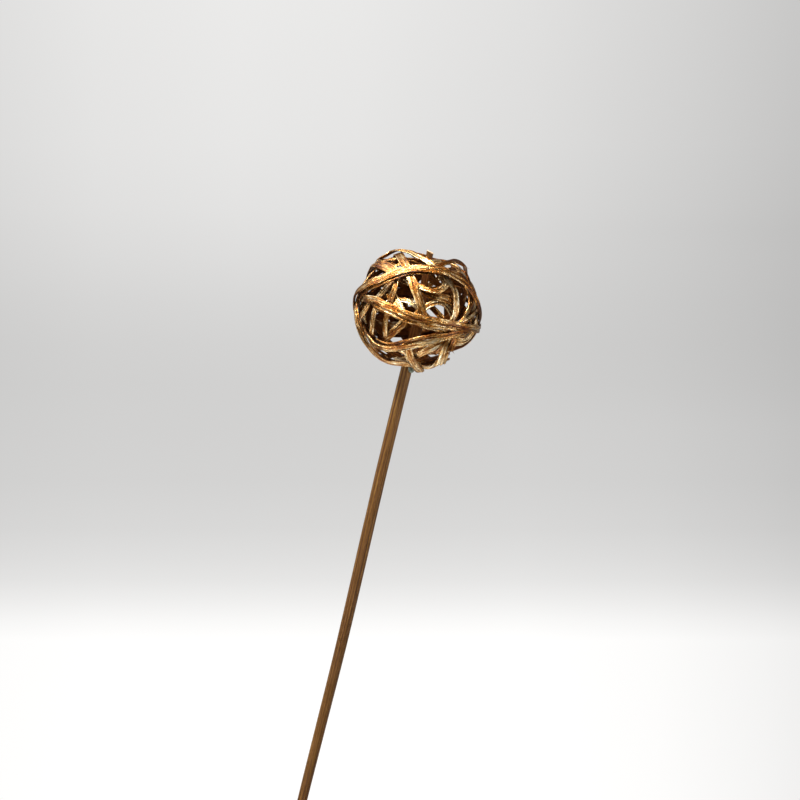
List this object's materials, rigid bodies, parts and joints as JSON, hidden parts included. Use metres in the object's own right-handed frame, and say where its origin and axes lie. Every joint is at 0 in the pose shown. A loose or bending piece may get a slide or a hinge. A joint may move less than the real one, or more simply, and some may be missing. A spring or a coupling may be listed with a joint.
{
  "type": "floral pick",
  "caption": "Decorative pick: a small open ball wound from flat gilded vine strips on a long slim wooden stem.",
  "frame": {"origin": "centre of the stem's foot", "axes": "+Z along the stem towards the ball, -Y towards the front"},
  "size_m": [0.0338, 0.0331, 0.2],
  "materials": {
    "stem": "satin gold-brown paint over straight wood grain",
    "strip": "metallic gold paint over split vine, dark in the creases",
    "glue": "set glue, cloudy and smooth"
  },
  "bodies": {
    "root": {"stem": "stem", "glue_bead": "glue", "strip_upper_front": "strip", "strip_upper_under": "strip", "strip_middle_upper": "strip", "strip_middle_lower": "strip", "strip_middle_third": "strip", "strip_lower_edge": "strip", "strip_lower_front": "strip", "strip_lower_second": "strip", "strip_stem_cover": "strip", "strip_left_rim": "strip", "strip_left_upright": "strip", "strip_left_shoulder": "strip", "strip_left_diagonal": "strip", "strip_crown": "strip", "strip_centre_steep": "strip", "strip_inner_left": "strip", "strip_inner_short": "strip", "strip_inner_level": "strip", "strip_right_shoulder": "strip", "strip_right_narrow": "strip", "strip_right_rim": "strip", "strip_right_knob": "strip", "strip_curl": "strip", "strip_inner_wide": "strip", "strip_bottom_fan": "strip", "strip_back_diagonal": "strip", "strip_back_slant": "strip", "strip_back_upright": "strip", "strip_back_belt": "strip", "strip_back_top": "strip", "strip_back_low": "strip", "strip_back_left": "strip", "strip_left_outer": "strip", "strip_left_slant": "strip", "strip_inner_slant": "strip", "strip_top_short": "strip", "strip_back_crest": "strip", "strip_back_cross": "strip", "strip_back_steep": "strip", "strip_back_low_belt": "strip", "strip_back_foot": "strip", "strip_back_rise": "strip", "strip_inner_low": "strip", "strip_back_left_high": "strip", "strip_bottom_frayed": "strip", "strip_inner_thin": "strip", "strip_top_bit": "strip", "strip_back_left_cross": "strip"}
  },
  "joints": []
}
